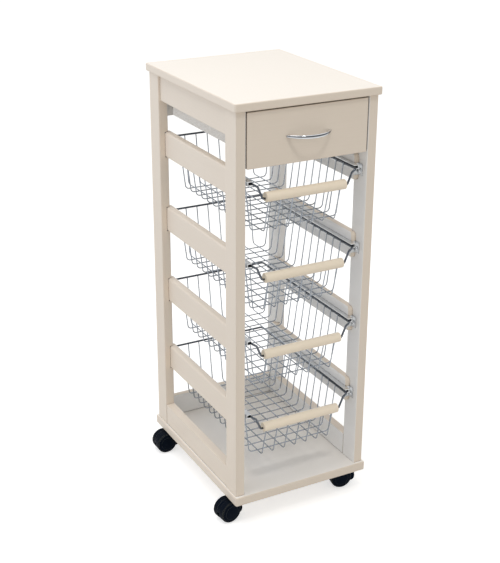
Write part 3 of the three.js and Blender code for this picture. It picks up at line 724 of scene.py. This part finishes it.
# %% Sizes of a basket
RIM_WIRE, THIN_WIRE = 4.0, 2.2
RIM_OUT, RIM_REAR = 105.5, 172.0
FLOOR_HALF_WIDTH, FLOOR_HALF_LENGTH, FLOOR_DROP = 90.0, 156.0, 99.0
MESH_STEP = 24.5
CROSS_WIRES, LONG_WIRES = 12, 7
GRIP_HALF, GRIP_Y, GRIP_DROP, GRIP_RADIUS = 82.0, -173.7, 26.0, 9.3
GRIP_WIRE_DROP = 28.5
BESIDE_GRIP = 5                      # from the grip's end to where its wire turns up
SHOULDER_IN, SHOULDER_DROP = 9, 6    # where that wire meets the rim's front corner
HOOK_RISE = 0.8                      # of the cross wires' ends, over the middle of the rim
WELD = 0.4
THICK = {"Wire_radius": RIM_WIRE / 2 * MM, "Sides": 20, "Bend_radius": 5 * MM,
         "Finish": rim_chrome}
THIN = {"Wire_radius": THIN_WIRE / 2 * MM, "Sides": 12, "Bend_radius": 8 * MM,
        "Finish": wire_chrome}
print("a basket is", 2 * RIM_OUT + RIM_WIRE, "mm wide over its rim")

# %% Wires of a basket
half_rim = [
    (GRIP_HALF + BESIDE_GRIP, GRIP_Y, -GRIP_WIRE_DROP),
    (RIM_OUT - SHOULDER_IN, GRIP_Y, -SHOULDER_DROP),
    (RIM_OUT, GRIP_Y, 0), (RIM_OUT, RIM_REAR, 0),
]
rim_knots = half_rim + [(-x, y, z) for x, y, z in reversed(half_rim)]
rim = run_tree(bent_wire, chain(rim_knots, closed=True), Copies=1, Step=(0, 0, 0), **THICK)

hook = RIM_OUT - (RIM_WIRE + THIN_WIRE) / 2 + WELD
first = -(CROSS_WIRES - 1) / 2 * MESH_STEP
cross = run_tree(bent_wire, chain([
    (-hook, first, HOOK_RISE), (-FLOOR_HALF_WIDTH, first, -FLOOR_DROP),
    (FLOOR_HALF_WIDTH, first, -FLOOR_DROP), (hook, first, HOOK_RISE),
]), Copies=CROSS_WIRES, Step=(0, MESH_STEP * MM, 0), **THIN)

bed = THIN_WIRE - WELD - FLOOR_DROP
first = -(LONG_WIRES - 1) / 2 * MESH_STEP
lengthwise = run_tree(bent_wire, chain([
    (first, GRIP_Y, -GRIP_WIRE_DROP), (first, -FLOOR_HALF_LENGTH, bed),
    (first, FLOOR_HALF_LENGTH, bed), (first, RIM_REAR, 0),
]), Copies=LONG_WIRES, Step=(MESH_STEP * MM, 0, 0), **THIN)
print("triangles in a basket:", sum(len(p.vertices) - 2 for m in (rim, cross, lengthwise)
                                    for p in m.polygons))

# %% [markdown]
# ## Grips turned from dowel
#
# A grip is 19 mm dowel with a saw slot along its underside, pushed over the front wire. A cylinder
# with a Boolean cut would leave ragged faces along the slot. Lofting the slotted section from end
# to end keeps it open and clean, and a few smaller sections at each end round the rim of the end
# face. The loft is kept as a function: the screws, the pull and the wheels are lofts as well.

# %% Loft through rings
def loft(rings, name):
    """A closed mesh through rings of points in mm. A ring of one point is a pole."""
    shape = bmesh.new()
    loops = [[shape.verts.new(Vector(point) * MM) for point in ring] for ring in rings]
    for one, two in zip(loops, loops[1:]):
        count = max(len(one), len(two))
        for i in range(count):
            j = (i + 1) % count
            corners = (one[i % len(one)], one[j % len(one)], two[j % len(two)], two[i % len(two)])
            shape.faces.new(list(dict.fromkeys(corners)))
    for loop in (loops[0], loops[-1]):
        if len(loop) > 1:
            shape.faces.new(loop)
    return finished_mesh(shape, name)


def turns(steps):
    """Even angles from 0 up to, but not including, a whole turn."""
    return [math.tau * i / steps for i in range(steps)]


def circle(radii, height):
    """A ring about Z, in mm, with one radius for each step round it."""
    return [(radius * math.cos(a), radius * math.sin(a), height)
            for radius, a in zip(radii, turns(len(radii)))]


print("a circle in four steps:", [[round(x, 1) for x in point] for point in circle([1] * 4, 0)])

# %% Grip of a basket
GRIP_EASE, EASE_STEPS = 1.3, 5
GRIP_STEPS, SLOT_STEPS = 44, 8
SLOT_HALF = 2.3
slot_lean = math.atan2(-GRIP_Y - FLOOR_HALF_LENGTH, -GRIP_WIRE_DROP - bed)


def grip_section(radius):
    """Points round a slotted circle, in mm, as (y, z) from the grip's axis."""
    down = Vector((math.sin(slot_lean), -math.cos(slot_lean)))
    aside = Vector((-down.y, down.x))
    wire = Vector((0, GRIP_DROP - GRIP_WIRE_DROP))
    mouths = []
    for side in (1, -1):
        start = wire + aside * side * SLOT_HALF
        along = start.dot(down)
        reach = math.sqrt(along ** 2 - start.length_squared + radius ** 2) - along
        mouths.append(start + down * reach)
    begin, end = (math.atan2(m.y, m.x) for m in mouths)
    end += math.tau if end < begin else 0
    points = [Vector((math.cos(a), math.sin(a))) * radius
              for a in (begin + (end - begin) * i / GRIP_STEPS for i in range(GRIP_STEPS + 1))]
    points += [wire - aside * SLOT_HALF * math.cos(a) - down * SLOT_HALF * math.sin(a)
               for a in (math.pi * i / SLOT_STEPS for i in range(SLOT_STEPS + 1))]
    return points


eased = [math.pi / 2 * i / EASE_STEPS for i in range(EASE_STEPS, -1, -1)]
stations = [(GRIP_HALF - GRIP_EASE * (1 - math.sin(a)), GRIP_RADIUS - GRIP_EASE * (1 - math.cos(a)))
            for a in eased]
stations += [(-x, radius) for x, radius in reversed(stations)]
grip = loft([[(x, *point) for point in grip_section(radius)] for x, radius in stations], "grip")
print("the slot of a grip leans", round(math.degrees(slot_lean), 1), "degrees")

# %% Place the baskets and their grips
low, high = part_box("top_board")
cart_middle = Vector(((low.x + high.x) / 2, (low.y + high.y) / 2, 0))
RIM_BELOW_SLAT = 20 * MM
LEVELS = (1, 2, 3, 4)
for level in LEVELS:
    rim_middle = cart_middle.copy()
    rim_middle.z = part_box(f"slat_left_{level}")[1].z - RIM_BELOW_SLAT
    wires = join_meshes([rim, cross, lengthwise], rim_middle)
    put_piece(f"wire_basket_{level}", wires, wire_chrome, f"basket_{level}", WIRE_SHARP)
    grip_middle = rim_middle + Vector((0, GRIP_Y, -GRIP_DROP)) * MM
    held = join_meshes([grip], grip_middle)
    put_piece(f"dowel_grip_{level}", held, handle_lacquer, f"basket_handle_{level}", GRIP_SHARP)
    print("basket", level, "rim at", round(rim_middle.z / MM, 1), "mm")

# %% [markdown]
# ## Screws
#
# Small pan-head screws hold the runners: one on a washer through each foot into the post, and three
# in each channel into its slat. Two more hold the pull from inside the drawer. A head with its
# cross recess is modelled once, standing on its face. A second node tree sets it in a row, because
# such screws always come evenly spaced. One mesh is kept for each body that they ride on.

# %% A node tree that sets copies in a row
row_of_copies, given = start_tree("row_of_copies", [
    ("Part", "Geometry"), ("First", "Vector"), ("Step", "Vector"), ("Copies", "Int"),
    ("Finish", "Material"),
], "Row")
places = add_node(row_of_copies, "GeometryNodeMeshLine", {
    "Count": given["Copies"], "Start Location": given["First"], "Offset": given["Step"]})
placed = add_node(row_of_copies, "GeometryNodeInstanceOnPoints", {
    "Points": places.outputs["Mesh"], "Instance": given["Part"]})
real = add_node(row_of_copies, "GeometryNodeRealizeInstances", {
    "Geometry": placed.outputs["Instances"]})
finished = add_node(row_of_copies, "GeometryNodeSetMaterial", {
    "Geometry": real.outputs["Geometry"], "Material": given["Finish"]})
add_node(row_of_copies, "NodeGroupOutput", {"Row": finished.outputs["Geometry"]})
print("row tree:", len(row_of_copies.nodes), "nodes")

# %% One screw head
HEAD_STEPS = 32
ARM_STEPS = (0, 1, 7)                # of the eight steps of a quarter, those in an arm of the cross
HEAD_RINGS = [(1, 0), (1, 0.5), (0.93, 1.1), (0.76, 1.5), (0.62, 1.65)]     # (share, height)
RECESS_RINGS = [(0.5, 0.17, 1.7), (0.42, 0.14, 0.5)]       # (share in an arm, between, height)
WASHER_THICK, WASHER_EASE = 1.2, 0.2


def screw_head(radius, washer=0):
    """A pan head with a cross recess that stands on z = 0, or on a washer of that radius."""
    lift = WASHER_THICK if washer else 0
    rings = [(share * radius, share * radius, lift + height) for share, height in HEAD_RINGS]
    rings += [(arm * radius, between * radius, lift + height)
              for arm, between, height in RECESS_RINGS]
    if washer:
        eased = washer - WASHER_EASE
        rings = [(washer, washer, 0), (washer, washer, lift - WASHER_EASE),
                 (eased, eased, lift)] + rings
    return loft([circle([arm if i % 8 in ARM_STEPS else between for i in range(HEAD_STEPS)], height)
                 for arm, between, height in rings], "screw_head")


def screw_row(head, facing, first, step, copies):
    """A row of heads that face along a direction. Places are in metres."""
    turned = head.copy()
    turned.transform(Vector(facing).to_track_quat("Z", "Y").to_matrix().to_4x4())
    return run_tree(row_of_copies, turned, First=tuple(first), Step=tuple(step), Copies=copies,
                    Finish=zinc)


washer_head = screw_head(3.6, washer=5.4)
pull_head = screw_head(3.6)
channel_head = screw_head(2.3)
print("screw heads have", len(channel_head.polygons), "faces, or", len(washer_head.polygons),
      "with a washer")

# %% Place the screws of the runners
FOOT_SCREW_AHEAD = 6.8 * MM          # from the slat's front end
FOOT_SCREW_BELOW = 10.5 * MM         # from the rim
FOOT_FACE = 1.5 * MM                 # gap and sheet between the post and the foot's open face
CHANNEL_FACE = 1.5 * MM              # and between the slat and the channel's open face
CHANNEL_SCREWS, CHANNEL_SCREW_STEP = 3, 110 * MM
CHANNEL_SCREW_ABOVE = 0.5 * MM       # the rim


def put_extra(name, mesh, body):
    """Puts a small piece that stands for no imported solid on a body."""
    piece = add_object(name, mesh)
    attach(piece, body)
    soften(piece, SMALL_SHARP)


rows = []
for side, inward in (("left", 1), ("right", -1)):
    post_low, post_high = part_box(f"post_front_{side}")
    post_face = post_high.x if inward > 0 else post_low.x
    for level in LEVELS:
        slat_low, slat_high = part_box(f"slat_{side}_{level}")
        rim_height = slat_high.z - RIM_BELOW_SLAT
        foot = (post_face + inward * FOOT_FACE, slat_low.y - FOOT_SCREW_AHEAD,
                rim_height - FOOT_SCREW_BELOW)
        rows.append(screw_row(washer_head, (inward, 0, 0), foot, (0, 0, 0), 1))
        slat_face = slat_high.x if inward > 0 else slat_low.x
        channel = (slat_face + inward * CHANNEL_FACE, cart_middle.y - CHANNEL_SCREW_STEP,
                   rim_height + CHANNEL_SCREW_ABOVE)
        rows.append(screw_row(channel_head, (inward, 0, 0), channel, (0, CHANNEL_SCREW_STEP, 0),
                              CHANNEL_SCREWS))
put_extra("runner_screws", join_meshes(rows), body_of["post_front_left"])
print("screws on the runners:", len(rows) // 2 * (1 + CHANNEL_SCREWS))

# %% Place the screws of the pull
PULL_SCREW_SPAN = 86 * MM
inner_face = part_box("drawer_front")[1].y
pull_low, pull_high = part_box("drawer_pull")
first = ((pull_low.x + pull_high.x - PULL_SCREW_SPAN) / 2, inner_face,
         (pull_low.z + pull_high.z) / 2)
pull_screws = screw_row(pull_head, (0, 1, 0), first, (PULL_SCREW_SPAN, 0, 0), 2)
put_extra("pull_screws", pull_screws, body_of["drawer_front"])
print("screws of the pull:", round(PULL_SCREW_SPAN / MM), "mm apart")

# %% [markdown]
# ## The bow pull
#
# The pull is a die-cast zinc bow, polished and chromed. It is slender where it stands on the drawer
# and grows taller towards its middle. A curve with a bevel keeps one section all along. A loft
# along the arc doesn't have to: each station carries a rounded section of its own height.

# %% Bow pull
PULL_SPAN, PULL_REACH, PULL_THICK = 92.0, 25.0, 4.4
PULL_LOW, PULL_TALL = 4.6, 7.0
PULL_STATIONS, PULL_SIDES = 48, 24
HEIGHT_POWER = 0.8                   # below 1, the height grows early
ROUNDNESS = 0.75                     # 1 gives an oval section, less a squarer one

arc_radius = ((PULL_SPAN / 2) ** 2 + PULL_REACH ** 2) / (2 * PULL_REACH)
arc_centre = arc_radius - PULL_REACH
middle_radius = arc_radius - PULL_THICK / 2
swing = math.acos(arc_centre / middle_radius)


def squarish(x):
    """A sine or cosine bent so that a circle turns towards a square."""
    return math.copysign(abs(x) ** ROUNDNESS, x)


def pull_section(share):
    """The ring of points at a share, from -1 to 1, of the way along the arc, in mm."""
    angle = swing * share
    height = PULL_LOW + (PULL_TALL - PULL_LOW) * math.cos(math.pi / 2 * share) ** HEIGHT_POWER
    ring = []
    for a in turns(PULL_SIDES):
        out = middle_radius + squarish(math.cos(a)) * PULL_THICK / 2
        ring.append((out * math.sin(angle), min(arc_centre - out * math.cos(angle), 0),
                     squarish(math.sin(a)) * height / 2))
    return ring


pull = loft([pull_section(2 * i / PULL_STATIONS - 1) for i in range(PULL_STATIONS + 1)], "bow_pull")
pull_at = Vector(((pull_low.x + pull_high.x) / 2, pull_high.y, (pull_low.z + pull_high.z) / 2))
pull.transform(Matrix.Translation(pull_at))
put_piece("bow_pull_chromed", pull, pull_chrome, "drawer_pull", WIRE_SHARP)
print("pull stands at", in_mm(pull_at))

# %% [markdown]
# ## Twin wheels of the castors
#
# Each wheel is moulded in nylon: a tread with a slightly rounded edge, a groove, and a domed cap
# whose snap line shows as a fine ring. A Screw modifier could turn the profile, but only about its
# object's own axis, and these objects stay at the origin. So each wheel is lofted from rings and
# laid on its own axle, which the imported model's joints give.

# %% Castor wheels
WHEEL_PROFILE = [                    # (radius, height) from the inner face
    (2.9, 0.0), (20.9, 0.0), (21.6, 0.3), (22.0, 1.0), (22.0, 10.4), (21.7, 11.2), (21.1, 11.5),
    (20.35, 11.5), (20.25, 11.2), (19.9, 11.2), (19.8, 11.6), (19.6, 13.0), (19.1, 13.5),
    (17.6, 13.8), (14.6, 14.2), (14.3, 14.05), (13.8, 14.05), (13.5, 14.3), (9.0, 14.75),
    (4.0, 14.92), (0.0, 14.95),
]
WHEEL_STEPS = 56
INNER_FACE = 3.5 * MM                # from the castor's middle: half its web and a running gap


def lathe(profile, steps):
    """A closed mesh turned about Z from (radius, height) pairs in mm. Radius 0 is a pole."""
    return loft([circle([radius] * (steps if radius else 1), height) for radius, height in profile],
                "turned")


for joint in frame["joints"]:
    if not joint["child"].startswith("wheel_"):
        continue
    node = "castor_" + joint["child"]
    axle = Vector(joint["axis"]).normalized()
    centre = Vector(joint["pos_m"])
    low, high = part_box(node)
    outward = axle if ((low + high) / 2 - centre).dot(axle) > 0 else -axle
    stand = outward.to_track_quat("Z", "Y").to_matrix().to_4x4()
    wheel = lathe(WHEEL_PROFILE, WHEEL_STEPS)
    wheel.transform(Matrix.Translation(centre + outward * INNER_FACE) @ stand)
    put_piece(f"{node}_nylon", wheel, tread_black, node, SMALL_SHARP)
    print(node, "turns about", in_mm(centre))

# %% [markdown]
# ## Floor, air and light
#
# The trolley stands on a wide pale floor in white air. Making them white with strong lamps would
# burn out the pale lacquer. Instead they glow only for the rays that the camera sends, straight or
# by way of chrome, and the light they give the trolley stays plain. The floor keeps its shadow.
# Three lamps add form: a large soft one overhead from the left, a weak cool one at the left, as
# from a window, and a small one high in front, which draws the shadow of the pull.

# %% Floor
FLOOR_REACH = 12.0
FLOOR_TONE, FLOOR_GLOW = "#DDDBD7", 0.62


def camera_sees(tree):
    """1 for rays that the camera sends, straight, mirrored or through, and 0 for other light."""
    path = add_node(tree, "ShaderNodeLightPath")
    seen = add_node(tree, "ShaderNodeMath", {
        0: path.outputs["Is Camera Ray"], 1: path.outputs["Is Glossy Ray"]}, operation="MAXIMUM")
    return add_node(tree, "ShaderNodeMath", {
        0: seen.outputs["Value"], 1: path.outputs["Is Transmission Ray"]},
        operation="MAXIMUM").outputs["Value"]


floor_white, tree, shader, _ = start_material(
    "studio_floor", Base_Color=linear(FLOOR_TONE), Roughness=0.9, Emission_Color=(1, 1, 1, 1))
glow = add_node(tree, "ShaderNodeMath", {0: camera_sees(tree), 1: FLOOR_GLOW},
                operation="MULTIPLY")
tree.links.new(glow.outputs["Value"], shader.inputs["Emission Strength"])

floor_mesh = bpy.data.meshes.new("floor")
floor_mesh.from_pydata([(-FLOOR_REACH, -FLOOR_REACH, 0), (FLOOR_REACH, -FLOOR_REACH, 0),
                        (FLOOR_REACH, FLOOR_REACH, 0), (-FLOOR_REACH, FLOOR_REACH, 0)],
                       [], [(0, 1, 2, 3)])
floor_mesh.materials.append(floor_white)
floor = add_object("studio_floor", floor_mesh)
print("floor:", 2 * FLOOR_REACH, "metres wide")

# %% World
WORLD_LEVEL = 0.59
world = bpy.data.worlds.new("studio_air")
bpy.context.scene.world = world
world.use_nodes = True
air = world.node_tree.nodes["Background"]
air.inputs["Color"].default_value = linear("#FFFFFF")
strength = add_node(world.node_tree, "ShaderNodeMapRange", {
    "Value": camera_sees(world.node_tree), "To Min": WORLD_LEVEL, "To Max": 1.0})
world.node_tree.links.new(strength.outputs["Result"], air.inputs["Strength"])
print("the air lights the trolley at", WORLD_LEVEL)


# %% Lamps
def soft_lamp(name, place, target, size, watts, tint="#FFFFFF"):
    """A square area lamp at place that faces target."""
    light = bpy.data.lights.new(name, "AREA")
    light.color = linear(tint)[:3]
    light.size = size
    light.energy = watts
    lamp = add_object(name, light)
    aim = (Vector(target) - Vector(place)).to_track_quat("-Z", "Y").to_matrix().to_4x4()
    lamp.matrix_world = Matrix.Translation(Vector(place)) @ aim
    print(name, "stands", round((Vector(target) - Vector(place)).length, 2), "metres away")


soft_lamp("overhead_left", (-0.9, 0.0, 2.8), (0, 0, 0.5), size=1.2, watts=15)
soft_lamp("window_left", (-1.0, 0.1, 0.95), (0, 0, 0.6), size=0.6, watts=1.7, tint="#CADFFF")
soft_lamp("high_front", (-0.2, -1.2, 2.9), (0, 0, 0.6), size=0.3, watts=9.5)

# %% [markdown]
# ## Update the scene
#
# Last, the view layer is updated once more, so that every piece stands where it was put. The
# finished trolley mustn't outgrow the imported model.

# %% Update the scene
bpy.context.view_layer.update()
